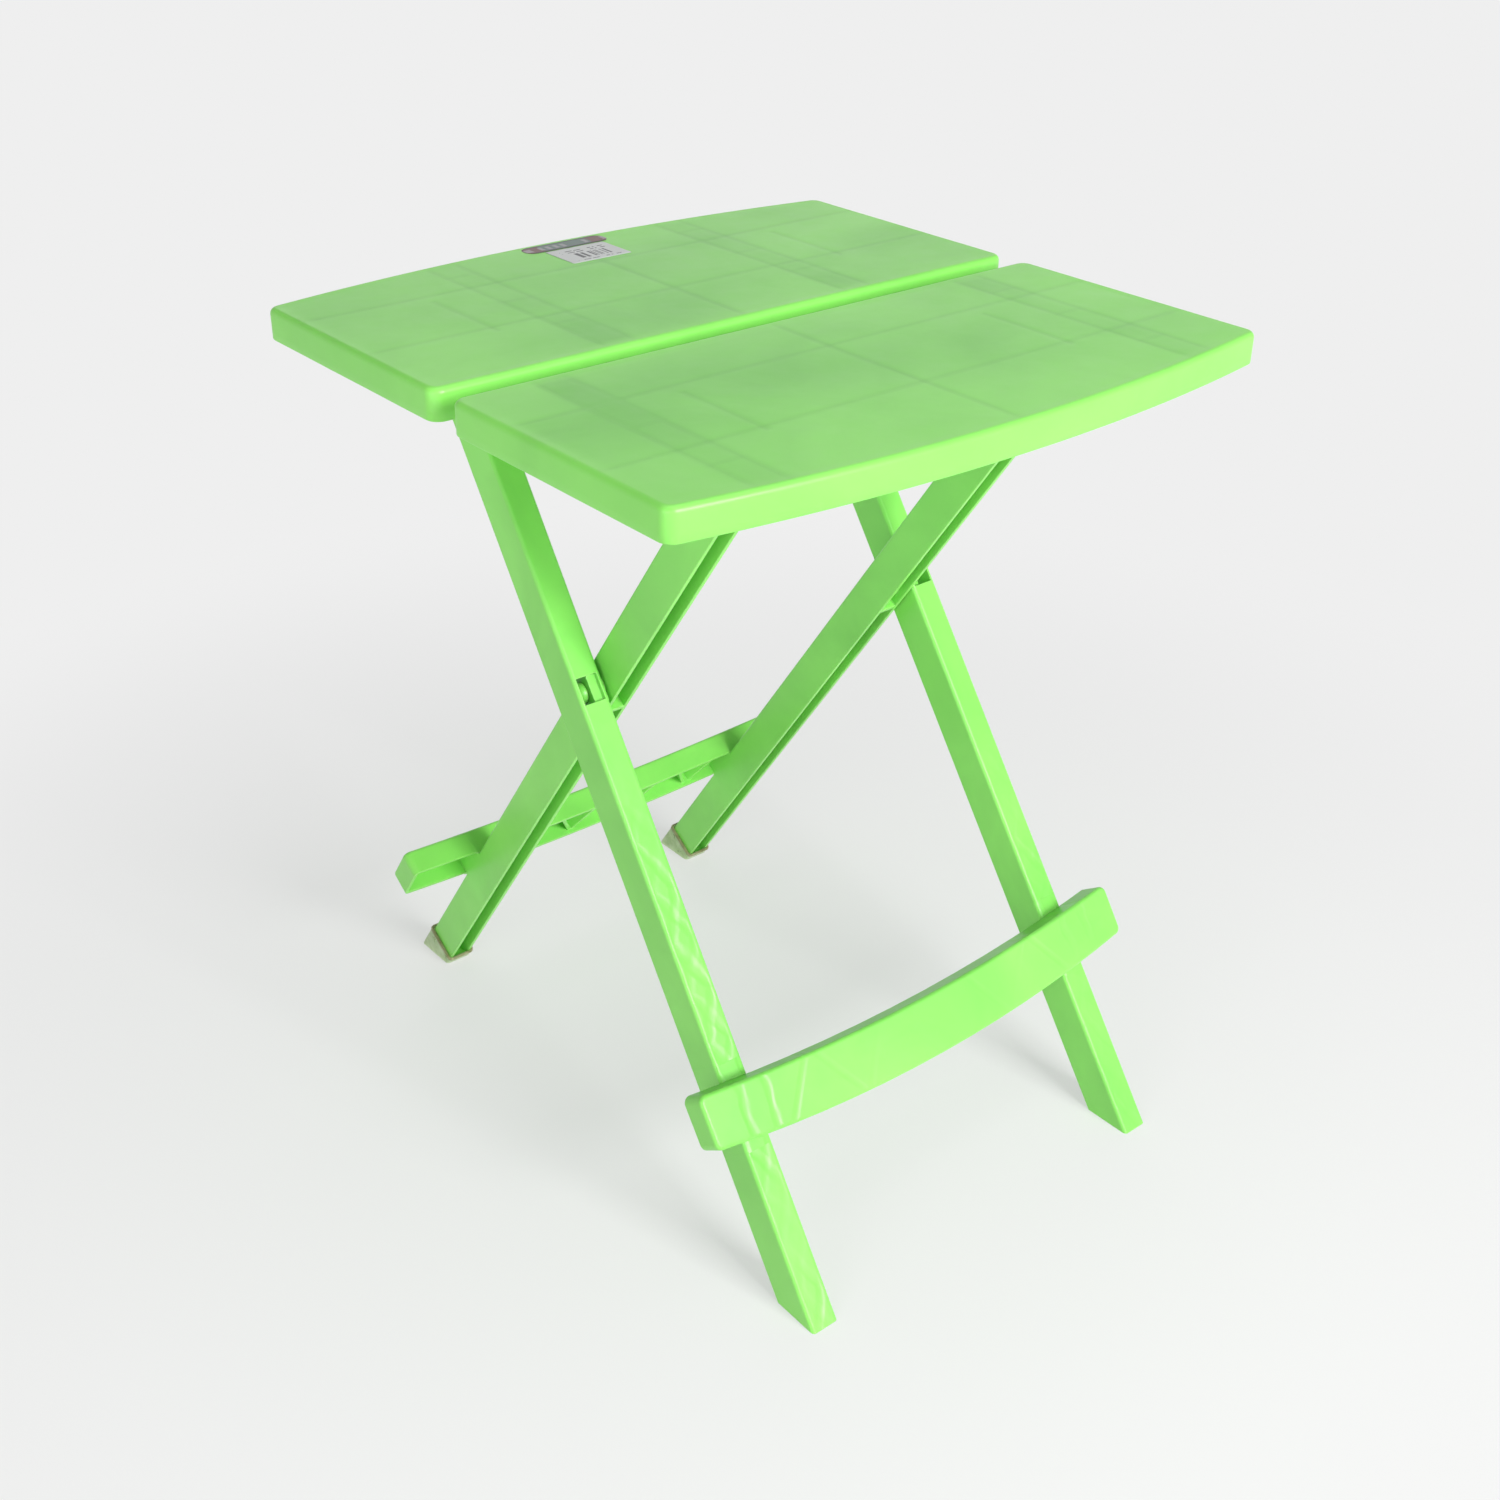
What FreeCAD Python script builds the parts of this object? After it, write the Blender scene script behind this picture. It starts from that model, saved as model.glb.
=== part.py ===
"""Folding side table of moulded plastic: two leaves on a pair of crossed leg frames.

The origin is on the floor under the middle of the table. X runs along the gap between the
leaves, -Y is the front and +Z is up. The outer leg frame stands on the front feet and carries
the rear leaf. The inner leg frame stands on the rear feet and carries the front leaf.

Each leg frame is drawn upright, as it lies when the table is folded, with its legs along Z
and the scissor axis at height zero, and is then leaned over and lifted to its open place.
"""
import FreeCAD, Part
import math
import os

# ---- driving dimensions, millimetres and degrees ----
TABLE_HEIGHT = 500.0
LEAF_WIDTH = 408.0
LEAF_END_DEPTH = 176.0
LEAF_BOW = 18.5
LEAF_THICKNESS = 18.0
LEAF_GAP = 15.5
LEAF_CORNER_RADIUS = 8.0
LEAF_EDGE_RADIUS = 3.4
LEAF_WALL = 2.5
LEAF_RIB = 2.0
LEAF_RIB_HEIGHT = 9.0

LEG_LEAN = 34.88
LEG_DEPTH = 25.5
LEG_WALL = 2.4
LEG_EDGE_RADIUS = 2.2
SCISSOR_HEIGHT = 307.5

OUTER_LEG_WIDTH = 18.6
OUTER_LEG_AT_FOOT = 142.0
OUTER_LEG_AT_TOP = 133.6
INNER_LEG_WIDTH = 16.5
INNER_LEG_AT_FOOT = 117.0
INNER_LEG_AT_TOP = 114.6

BAR_HALF_LENGTH = 166.0
BAR_DEPTH = 17.2
BAR_END_HEIGHT = 32.3
BAR_TOP_SAG = 10.0
BAR_BOTTOM_SAG = 13.0
BAR_BELOW_SCISSOR = 229.4
BAR_WALL = 2.4
BAR_RELIEF = 0.6
BAR_CORNER_RADIUS = 4.5
BAR_EDGE_RADIUS = 2.4

LUG_DROP = 26.5
LUG_HALF_BASE = 32.0
LUG_THICKNESS = 4.0
LUG_BOSS_RADIUS = 8.0
HINGE_PIN_RADIUS = 3.5
SCISSOR_PIN_RADIUS = 4.0
RUNNING_CLEARANCE = 0.05
SIDE_CLEARANCE = 0.35

WEB_SHORT_OF_HINGE = 6.6
WINDOW_HEIGHT = 15.6
WINDOW_RELIEF = 0.5
PAD_LENGTH = 8.0
PAD_HALF_HEIGHT = 9.0
PAD_SET_BACK = 1.2
SPACER_RADIUS = 9.0
PIN_SEAT_RADIUS = 8.0
PIN_SEAT_LENGTH = 3.0
STOP_BELOW_SCISSOR = 11.5
STOP_THICKNESS = 3.0

LEG_BRACE_SPAN = 2.4
LEG_BRACE_DEPTH = 14.0
BRACES_FROM_BAR = 14.0
BRACES_BELOW_SCISSOR = 34.0
BRACES_ABOVE_SCISSOR = 22.0
BRACES_BELOW_HINGE = 50.0
BRACES_ABOVE_FOOT = 20.0
BAR_BRACE_SPAN = 2.6
BAR_BRACE_DEPTH = 12.9
BAR_BAYS = 4

SCISSOR_HEAD_RADIUS = 6.4
FLANGE_RADIUS = 6.0
FLANGE_THICKNESS = 2.4
HINGE_HEAD_RADIUS = 5.5
HINGE_HEAD_REACH = 2.0
HEAD_CLEARANCE = 0.15
HINGE_BOSS_RADIUS = 6.8

CAP_WALL = 1.5
CAP_SOLE = 2.5
CAP_RIM_HEIGHT = 27.5
CAP_BEAD = 0.6
CAP_BEAD_HEIGHT = 2.4
LABEL_THICKNESS = 0.2
PRICE_LABEL_PLAN = (-18.0, 25.0, 151.0, 182.0)
MAKER_STICKER_PLAN = (-28.0, 32.0, 183.0, 197.0)

# How far solids run into each other so that they join or cut cleanly.
OVERLAP = 1.0

# ---- sizes that follow from them ----
HALF_WIDTH = LEAF_WIDTH / 2
HALF_GAP = LEAF_GAP / 2
LEAF_UNDERSIDE = TABLE_HEIGHT - LEAF_THICKNESS
HALF_LEG = LEG_DEPTH / 2
LEAN = math.radians(LEG_LEAN)
LEG_RUN = LEAF_UNDERSIDE / math.cos(LEAN)
HINGE_HEIGHT = LEAF_UNDERSIDE - LUG_DROP
HINGE_FROM_SCISSOR = (HINGE_HEIGHT - SCISSOR_HEIGHT) / math.cos(LEAN)
HINGE_Y = HINGE_FROM_SCISSOR * math.sin(LEAN)
FOOT_FROM_SCISSOR = SCISSOR_HEIGHT / math.cos(LEAN)
FRONT_OF_BAR = -HALF_LEG - BAR_DEPTH
LEG_BOTTOM = -FOOT_FROM_SCISSOR - LEG_DEPTH
WEB_TOP = HINGE_FROM_SCISSOR - WEB_SHORT_OF_HINGE
BAR_TOP = -BAR_BELOW_SCISSOR
BAR_BOTTOM = BAR_TOP - BAR_END_HEIGHT

# Rib layouts, measured from the table's middle: pairs are the two walls of a double rib, cross
# the ribs along the leaf, and webs the short ties between the walls of a double rib.
REAR_LAYOUT = {"pairs": (75.5, 94.5), "cross": (76.0, 146.0), "webs": (61.0, 111.0, 170.0)}
FRONT_LAYOUT = {"pairs": (138.5, 157.5), "cross": (59.0, 131.5), "webs": (44.0, 95.25, 155.5)}


def vec(x, y, z):
    return FreeCAD.Vector(x, y, z)


def box(x0, x1, y0, y1, z0, z1):
    return Part.makeBox(x1 - x0, y1 - y0, z1 - z0, vec(x0, y0, z0))


def cylinder_x(radius, x0, x1, y=0.0, z=0.0):
    """Cylinder along X from x0 to x1."""
    return Part.makeCylinder(radius, x1 - x0, vec(x0, y, z), vec(1, 0, 0))


def joined(shapes):
    solid = shapes[0].multiFuse(shapes[1:]) if len(shapes) > 1 else shapes[0]
    return solid.removeSplitter()


def both_sides(shape):
    """A shape and its twin on the other side of the table's middle."""
    return [shape, shape.mirror(vec(0, 0, 0), vec(1, 0, 0))]


def front_to_back(shape):
    """The same shape with front and back exchanged."""
    return shape.mirror(vec(0, 0, 0), vec(0, 1, 0))


def slab(points, vector):
    """Extrude a closed flat outline, given by its corner points."""
    wire = Part.makePolygon(points + points[:1])
    return Part.Face(wire).extrude(vector)


def edges_where(shape, test):
    """Edges of a shape whose two ends both pass a test."""
    return [e for e in shape.Edges if len(e.Vertexes) == 2 and all(test(v.Point) for v in e.Vertexes)]


# ---- legs ----

class Leg:
    """Outer face, width and inner face of one leg, as straight lines along its height."""

    def __init__(self, at_foot, at_top, width):
        self.width = width
        self.slope = (at_top - at_foot) / LEG_RUN
        self.at_scissor = at_foot + self.slope * FOOT_FROM_SCISSOR

    def outside(self, height):
        return self.at_scissor + self.slope * height

    def inside(self, height):
        return self.outside(height) - self.width

    def bar(self, low, high, inset, front, back):
        """Solid bar that follows the leg, its sides moved in by inset."""
        x0 = self.inside(low) + inset
        x1 = self.outside(low) - inset
        corners = [vec(x0, front, low), vec(x1, front, low), vec(x1, back, low), vec(x0, back, low)]
        return slab(corners, vec(self.slope * (high - low), 0, high - low))


OUTER_LEG = Leg(OUTER_LEG_AT_FOOT, OUTER_LEG_AT_TOP, OUTER_LEG_WIDTH)
INNER_LEG = Leg(INNER_LEG_AT_FOOT, INNER_LEG_AT_TOP, INNER_LEG_WIDTH)


def leg_envelope(leg):
    """The leg's outside: rounded along its web, with a full round around the leaf hinge."""
    top = HINGE_FROM_SCISSOR + HALF_LEG
    body = leg.bar(LEG_BOTTOM, top, 0.0, -HALF_LEG, HALF_LEG)
    along_web = edges_where(body, lambda p: abs(p.y + HALF_LEG) < 0.01)
    long_edges = [e for e in along_web if e.Length > leg.width * 2]
    body = body.makeFillet(LEG_EDGE_RADIUS, long_edges)
    keep_straight = box(0, HALF_WIDTH, -LEG_DEPTH, LEG_DEPTH, LEG_BOTTOM, HINGE_FROM_SCISSOR)
    keep_round = cylinder_x(HALF_LEG, 0, HALF_WIDTH, 0, HINGE_FROM_SCISSOR)
    return body.common(keep_straight.fuse(keep_round))


def leg_channel(leg):
    """The hollow of the leg, open at the back, and right through above the web's top end."""
    hollow = leg.bar(LEG_BOTTOM, LEG_RUN, LEG_WALL, -HALF_LEG + LEG_WALL, LEG_DEPTH)
    slot = leg.bar(WEB_TOP, LEG_RUN, LEG_WALL, -LEG_DEPTH, LEG_DEPTH)
    return hollow.fuse(slot)


def zigzag(leg, low, high, count):
    """Slanted bracing ribs between the two walls of a leg."""
    pitch = (high - low) / count
    ribs = []
    for i in range(count):
        z0 = low + pitch * i
        z1 = z0 + pitch
        x0 = leg.inside(z0) + LEG_WALL / 2
        x1 = leg.outside(z0) - LEG_WALL / 2
        if i % 2:
            x0, x1 = x1, x0
        thick = vec(0, 0, LEG_BRACE_SPAN)
        front = -HALF_LEG + LEG_WALL / 2
        corners = [vec(x0, front, z0), vec(x1, front, z1), vec(x1, front, z1) + thick,
                   vec(x0, front, z0) + thick]
        ribs.append(slab(corners, vec(0, LEG_BRACE_DEPTH, 0)))
    return ribs


# ---- crossbar ----

def bar_outline(inset, front, back):
    """The sagging bar as a solid between two depths, its edges moved in by inset."""
    end = BAR_HALF_LENGTH - inset
    top = BAR_TOP - inset
    bottom = BAR_BOTTOM + inset
    upper = Part.Arc(vec(-end, back, top), vec(0, back, top - BAR_TOP_SAG), vec(end, back, top))
    lower = Part.Arc(vec(end, back, bottom), vec(0, back, bottom - BAR_BOTTOM_SAG), vec(-end, back, bottom))
    right = Part.LineSegment(vec(end, back, top), vec(end, back, bottom))
    left = Part.LineSegment(vec(-end, back, bottom), vec(-end, back, top))
    wire = Part.Wire([c.toShape() for c in (upper, right, lower, left)])
    return Part.Face(wire).extrude(vec(0, front - back, 0))


def bar_envelope():
    body = bar_outline(0.0, FRONT_OF_BAR, -HALF_LEG)
    ends = edges_where(body, lambda p: abs(abs(p.x) - BAR_HALF_LENGTH) < 0.01)
    corners = [e for e in ends if abs(e.Length - BAR_DEPTH) < 0.01]
    body = body.makeFillet(BAR_CORNER_RADIUS, corners)
    front_edges = edges_where(body, lambda p: abs(p.y - FRONT_OF_BAR) < 0.01)
    return body.makeFillet(BAR_EDGE_RADIUS, front_edges)


def bar_braces(leg):
    """Ribs in the bar: the leg's own walls carried forward, then a zigzag between the legs."""
    low = BAR_BOTTOM - BAR_BOTTOM_SAG
    high = BAR_TOP
    front = FRONT_OF_BAR + BAR_WALL / 2
    back = -HALF_LEG + LEG_WALL * 2
    middle = (low + high) / 2
    leg_inside = leg.bar(low - OVERLAP, high + OVERLAP, LEG_WALL, front - OVERLAP, back + OVERLAP)
    walls = [leg.bar(low, high, 0.0, front, back).cut(leg_inside)]
    pitch = leg.inside(middle) / BAR_BAYS
    for i in range(BAR_BAYS):
        x0 = pitch * i
        x1 = x0 + pitch
        z0, z1 = (low, high) if i % 2 else (high, low)
        thick = vec(BAR_BRACE_SPAN, 0, 0)
        corners = [vec(x0, front, z0), vec(x1, front, z1), vec(x1, front, z1) + thick,
                   vec(x0, front, z0) + thick]
        walls.append(slab(corners, vec(0, BAR_BRACE_DEPTH, 0)))
    space = bar_outline(BAR_WALL / 2, FRONT_OF_BAR, back)
    return [side.common(space) for wall in walls for side in both_sides(wall)]


# ---- leg frames ----

def lean_over(shape):
    """Lean an upright frame back and lift it so that its axis is at the scissor height."""
    placed = shape.copy()
    placed.rotate(vec(0, 0, 0), vec(1, 0, 0), -LEG_LEAN)
    placed.translate(vec(0, 0, SCISSOR_HEIGHT))
    return placed


def cut_level(shape, floor):
    """Cut a leaned frame level at its feet."""
    return shape.cut(box(-HALF_WIDTH, HALF_WIDTH, -TABLE_HEIGHT, TABLE_HEIGHT, -TABLE_HEIGHT, floor))


def sole_plate(leg, floor):
    """Level plate that closes the channel at the foot of a leaned leg."""
    inside = lean_over(leg.bar(LEG_BOTTOM, -FOOT_FROM_SCISSOR + LEG_DEPTH, LEG_WALL / 2,
                               -HALF_LEG + LEG_WALL / 2, HALF_LEG - OVERLAP / 2))
    level = box(-HALF_WIDTH, HALF_WIDTH, -TABLE_HEIGHT, TABLE_HEIGHT, floor, floor + LEG_WALL)
    return inside.common(level)


def leg_frame(leg, floor, relief, pads, bores, braces):
    """One moulding: two channel legs and a crossbar, with pads and ribs added and bores cut."""
    legs = both_sides(leg_envelope(leg))
    hollows = both_sides(leg_channel(leg))
    bar = bar_envelope().cut(joined(both_sides(relief)))
    cavity = bar_outline(BAR_WALL, FRONT_OF_BAR + BAR_WALL, -HALF_LEG + LEG_WALL + WINDOW_RELIEF / 2)
    upright = joined(legs + [bar]).cut(Part.makeCompound(hollows + [cavity]))
    upright = joined([upright] + bar_braces(leg) + [b for rib in braces for b in both_sides(rib)])
    upright = joined([upright] + [p for pad in pads for p in both_sides(pad)])
    upright = upright.cut(Part.makeCompound([b for bore in bores for b in both_sides(bore)]))
    frame = cut_level(lean_over(upright), floor)
    return joined([frame] + both_sides(sole_plate(leg, floor)))


def scissor_gap():
    """Inner face of the outer leg and outer face of the inner leg at the scissor axis."""
    return INNER_LEG.outside(0), OUTER_LEG.inside(0)


def hinge_bore(leg):
    """Bore through both walls of an upright leg for its leaf hinge pin."""
    inside = leg.inside(HINGE_FROM_SCISSOR) - OVERLAP
    outside = leg.outside(HINGE_FROM_SCISSOR) + OVERLAP
    return cylinder_x(HINGE_PIN_RADIUS, inside, outside, 0, HINGE_FROM_SCISSOR)


def outer_frame():
    """Front-footed frame: the wider one, with a window in each web over the scissor pin."""
    inner_face, outer_face = scissor_gap()
    pad = box(outer_face, outer_face + PAD_LENGTH, -HALF_LEG + PAD_SET_BACK, HALF_LEG - PAD_SET_BACK,
              -PAD_HALF_HEIGHT, PAD_HALF_HEIGHT)
    spacer = cylinder_x(SPACER_RADIUS, inner_face + SIDE_CLEARANCE, outer_face + LEG_WALL)
    window = box(outer_face + LEG_WALL, OUTER_LEG.outside(0) - LEG_WALL, -LEG_DEPTH,
                 -HALF_LEG + LEG_WALL + WINDOW_RELIEF, -WINDOW_HEIGHT / 2, WINDOW_HEIGHT / 2)
    pin_bore = cylinder_x(SCISSOR_PIN_RADIUS + RUNNING_CLEARANCE, inner_face,
                          outer_face + PAD_LENGTH + OVERLAP)
    low_end = BAR_BOTTOM - BRACES_FROM_BAR
    high_end = BAR_TOP + BRACES_FROM_BAR
    braces = zigzag(OUTER_LEG, high_end, -BRACES_BELOW_SCISSOR, 5)
    braces += zigzag(OUTER_LEG, BRACES_ABOVE_SCISSOR, HINGE_FROM_SCISSOR - BRACES_BELOW_HINGE, 3)
    braces += zigzag(OUTER_LEG, -FOOT_FROM_SCISSOR + BRACES_ABOVE_FOOT, low_end, 2)
    own = OUTER_LEG.inside(BAR_TOP) - OVERLAP
    relief = box(0, own, -HALF_LEG - BAR_RELIEF, -HALF_LEG + OVERLAP, -FOOT_FROM_SCISSOR, 0)
    bores = [pin_bore, hinge_bore(OUTER_LEG), window]
    return leg_frame(OUTER_LEG, 0.0, relief, [pad, spacer], bores, braces)


def inner_frame():
    """Rear-footed frame: the narrower one, with a stop rib across each channel at the crossing."""
    outer_wall = INNER_LEG.outside(0) - LEG_WALL
    inner_wall = INNER_LEG.inside(0) + LEG_WALL
    seat = cylinder_x(PIN_SEAT_RADIUS, outer_wall - PIN_SEAT_LENGTH, outer_wall + OVERLAP)
    stop = box(inner_wall - OVERLAP, outer_wall + OVERLAP, -HALF_LEG + OVERLAP, HALF_LEG,
               -STOP_BELOW_SCISSOR, -STOP_BELOW_SCISSOR + STOP_THICKNESS)
    pin_bore = cylinder_x(SCISSOR_PIN_RADIUS, outer_wall - PIN_SEAT_LENGTH - OVERLAP,
                          INNER_LEG.outside(0) + OVERLAP)
    own = INNER_LEG.outside(BAR_TOP) + OVERLAP
    relief = box(own, HALF_WIDTH, -HALF_LEG - BAR_RELIEF, -HALF_LEG + OVERLAP, -FOOT_FROM_SCISSOR, 0)
    frame = leg_frame(INNER_LEG, CAP_SOLE, relief, [seat, stop], [pin_bore, hinge_bore(INNER_LEG)], [])
    return front_to_back(frame)


# ---- leaves ----

def leaf_prism(inset, low, high):
    """The leaf's outline, moved in by inset, as a solid between two heights."""
    x = HALF_WIDTH - inset
    near = HALF_GAP + inset
    far = HALF_GAP + LEAF_END_DEPTH - inset
    bow = Part.Arc(vec(x, far, low), vec(0, far + LEAF_BOW, low), vec(-x, far, low))
    left = Part.LineSegment(vec(-x, far, low), vec(-x, near, low))
    straight = Part.LineSegment(vec(-x, near, low), vec(x, near, low))
    right = Part.LineSegment(vec(x, near, low), vec(x, far, low))
    wire = Part.Wire([c.toShape() for c in (bow, left, straight, right)])
    body = Part.Face(wire).extrude(vec(0, 0, high - low))
    corners = [e for e in body.Edges if abs(e.Length - (high - low)) < 0.01]
    return body.makeFillet(LEAF_CORNER_RADIUS - inset, corners)


def leaf_ribs(layout, channel_middle):
    """Ribs under the plate: a middle rib, two double ribs, two cross ribs and the lug ribs."""
    top = TABLE_HEIGHT - LEAF_WALL / 2
    low = TABLE_HEIGHT - LEAF_WALL - LEAF_RIB_HEIGHT
    far = HALF_GAP + LEAF_END_DEPTH + LEAF_BOW
    half = LEAF_RIB / 2
    ribs = [box(-half, half, 0, far, low, top)]
    for x in layout["pairs"]:
        ribs += both_sides(box(x - half, x + half, 0, far, low, top))
    x0, x1 = layout["pairs"]
    for y in layout["webs"]:
        ribs += both_sides(box(x0, x1, y - half, y + half, low, top))
    for y in layout["cross"]:
        ribs.append(box(-HALF_WIDTH, HALF_WIDTH, y - half, y + half, low, top))
    lug_half = LUG_THICKNESS / 2
    ribs += both_sides(box(channel_middle - lug_half, channel_middle + lug_half, HINGE_Y - LUG_HALF_BASE,
                           HINGE_Y + LUG_HALF_BASE, LEAF_UNDERSIDE - OVERLAP / 2, top))
    return ribs


def hinge_lug(channel_middle, channel_width):
    """Tapered plate under the leaf with a cross boss that fills the leg's channel."""
    half = LUG_THICKNESS / 2
    boss_half = channel_width / 2 - SIDE_CLEARANCE
    x = channel_middle - half
    reach = math.hypot(LUG_HALF_BASE, LUG_DROP)
    base_angle = math.atan2(LUG_HALF_BASE, LUG_DROP)
    tangent_angle = base_angle + math.acos(LUG_BOSS_RADIUS / reach)
    side = LUG_BOSS_RADIUS * math.sin(tangent_angle)
    rise = LUG_BOSS_RADIUS * math.cos(tangent_angle)
    corners = [vec(x, HINGE_Y - LUG_HALF_BASE, LEAF_UNDERSIDE), vec(x, HINGE_Y - side, HINGE_HEIGHT + rise),
               vec(x, HINGE_Y + side, HINGE_HEIGHT + rise), vec(x, HINGE_Y + LUG_HALF_BASE, LEAF_UNDERSIDE)]
    plate = slab(corners, vec(LUG_THICKNESS, 0, 0))
    plate_end = cylinder_x(LUG_BOSS_RADIUS, x, x + LUG_THICKNESS, HINGE_Y, HINGE_HEIGHT)
    boss = cylinder_x(HINGE_BOSS_RADIUS, channel_middle - boss_half, channel_middle + boss_half,
                      HINGE_Y, HINGE_HEIGHT)
    lug = joined([plate, plate_end, boss])
    bore = cylinder_x(HINGE_PIN_RADIUS + RUNNING_CLEARANCE, channel_middle - boss_half - OVERLAP,
                      channel_middle + boss_half + OVERLAP, HINGE_Y, HINGE_HEIGHT)
    return lug.cut(bore)


def leaf(leg, layout):
    """One leaf as the rear one lies: a ribbed shell, open below, with two hinge lugs."""
    shell = leaf_prism(0.0, LEAF_UNDERSIDE, TABLE_HEIGHT)
    top_edges = edges_where(shell, lambda p: abs(p.z - TABLE_HEIGHT) < 0.01)
    shell = shell.makeFillet(LEAF_EDGE_RADIUS, top_edges)
    shell = shell.cut(leaf_prism(LEAF_WALL, LEAF_UNDERSIDE - OVERLAP, TABLE_HEIGHT - LEAF_WALL))
    channel_width = leg.width - LEG_WALL * 2
    channel_middle = leg.outside(HINGE_FROM_SCISSOR) - leg.width / 2
    space = leaf_prism(LEAF_WALL / 2, LEAF_UNDERSIDE - OVERLAP, TABLE_HEIGHT - LEAF_WALL / 2)
    ribs = [rib.common(space) for rib in leaf_ribs(layout, channel_middle)]
    lugs = both_sides(hinge_lug(channel_middle, channel_width))
    return joined([shell] + ribs + lugs)


# ---- pins ----

def scissor_pin():
    """Snap rivet: a flange in the inner leg, a shank, and a domed head in the outer leg."""
    inner_face, outer_face = scissor_gap()
    flange_face = inner_face - LEG_WALL - PIN_SEAT_LENGTH
    head_face = outer_face + PAD_LENGTH + SIDE_CLEARANCE
    flange = cylinder_x(FLANGE_RADIUS, flange_face - FLANGE_THICKNESS, flange_face)
    shank = cylinder_x(SCISSOR_PIN_RADIUS, flange_face - OVERLAP, head_face + OVERLAP)
    ball = Part.makeSphere(SCISSOR_HEAD_RADIUS, vec(head_face, 0, 0))
    far_wall = OUTER_LEG.outside(0) - LEG_WALL - SIDE_CLEARANCE
    dome = ball.common(box(head_face, far_wall, -LEG_DEPTH, LEG_DEPTH, -LEG_DEPTH, LEG_DEPTH))
    pin = joined([flange, shank, dome])
    pin.translate(vec(0, 0, SCISSOR_HEIGHT))
    return pin


def hinge_pin(leg, head_outside):
    """Plain headed pin through both walls of a leg at its leaf hinge, rear leaf's place."""
    outside = leg.outside(HINGE_FROM_SCISSOR)
    inside = leg.inside(HINGE_FROM_SCISSOR)
    if head_outside:
        head = cylinder_x(HINGE_HEAD_RADIUS, outside + HEAD_CLEARANCE, outside + HINGE_HEAD_REACH)
        shank = cylinder_x(HINGE_PIN_RADIUS, inside + HEAD_CLEARANCE, outside + OVERLAP)
    else:
        head = cylinder_x(HINGE_HEAD_RADIUS, inside - HINGE_HEAD_REACH, inside - HEAD_CLEARANCE)
        shank = cylinder_x(HINGE_PIN_RADIUS, inside - OVERLAP, outside - HEAD_CLEARANCE)
    pin = joined([shank, head])
    pin.translate(vec(0, HINGE_Y, HINGE_HEIGHT))
    return pin


# ---- foot caps and labels ----

def foot_cap():
    """Soft cup pushed over the foot of the inner frame, its rim square to the leg."""
    rim = -FOOT_FROM_SCISSOR - HALF_LEG * math.tan(LEAN) + CAP_RIM_HEIGHT
    cup = INNER_LEG.bar(LEG_BOTTOM, rim, -CAP_WALL, -HALF_LEG - CAP_WALL, HALF_LEG + CAP_WALL)
    bead_out = CAP_WALL + CAP_BEAD
    bead = INNER_LEG.bar(rim - CAP_BEAD_HEIGHT, rim, -bead_out, -HALF_LEG - bead_out, HALF_LEG + bead_out)
    cup = cut_level(lean_over(joined([cup, bead])), 0.0)
    filled_leg = leg_envelope(INNER_LEG)
    cup = cup.cut(cut_level(lean_over(filled_leg), CAP_SOLE))
    heel = SCISSOR_HEIGHT * math.tan(LEAN) + HALF_LEG / math.cos(LEAN)
    cup = cup.cut(box(0, HALF_WIDTH, -TABLE_HEIGHT, -heel, -OVERLAP, TABLE_HEIGHT))
    return front_to_back(cup)


def label(plan):
    """Thin label lying on the rear leaf, its plan given as x0, x1, y0, y1."""
    return box(*plan, TABLE_HEIGHT, TABLE_HEIGHT + LABEL_THICKNESS)


# ---- every piece ----

def all_pieces():
    pieces = {
        "outer_frame": outer_frame(),
        "inner_frame": inner_frame(),
        "rear_leaf": leaf(OUTER_LEG, REAR_LAYOUT),
        "front_leaf": front_to_back(leaf(INNER_LEG, FRONT_LAYOUT)),
        "price_label": label(PRICE_LABEL_PLAN),
        "maker_sticker": label(MAKER_STICKER_PLAN),
    }
    pairs = {
        "scissor_pin": scissor_pin(),
        "rear_hinge_pin": hinge_pin(OUTER_LEG, True),
        "front_hinge_pin": front_to_back(hinge_pin(INNER_LEG, False)),
        "foot_cap": foot_cap(),
    }
    for name, right in pairs.items():
        pieces[name + "_right"], pieces[name + "_left"] = both_sides(right)
    return pieces


os.makedirs("parts", exist_ok=True)
for node, shape in all_pieces().items():
    shape.exportStep("parts/" + node + ".step")
    print(node, "solids", len(shape.Solids), "valid", shape.isValid(), "volume", round(shape.Volume))
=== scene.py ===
import bmesh
import bpy
import numpy as np
from mathutils import Matrix, Vector


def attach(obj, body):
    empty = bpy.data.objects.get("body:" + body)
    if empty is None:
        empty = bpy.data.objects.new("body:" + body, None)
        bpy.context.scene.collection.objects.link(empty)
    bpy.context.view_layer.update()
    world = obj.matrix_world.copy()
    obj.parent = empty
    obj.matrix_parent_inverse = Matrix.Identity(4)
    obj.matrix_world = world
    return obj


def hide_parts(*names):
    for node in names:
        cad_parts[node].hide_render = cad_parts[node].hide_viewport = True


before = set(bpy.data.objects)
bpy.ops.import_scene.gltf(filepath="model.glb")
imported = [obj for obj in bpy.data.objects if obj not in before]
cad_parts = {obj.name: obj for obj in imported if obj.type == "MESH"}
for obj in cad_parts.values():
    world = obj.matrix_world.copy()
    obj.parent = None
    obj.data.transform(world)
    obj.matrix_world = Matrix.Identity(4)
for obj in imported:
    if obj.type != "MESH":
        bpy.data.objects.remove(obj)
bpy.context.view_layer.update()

# ---------------------------------------------------------------- leg frames
# Each frame is one satin lime moulding of two channel legs and a crossbar. The thick ribs inside
# have pulled faint sink marks into the outer skin: a zigzag down each leg, slanting lines on the bar.

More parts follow.
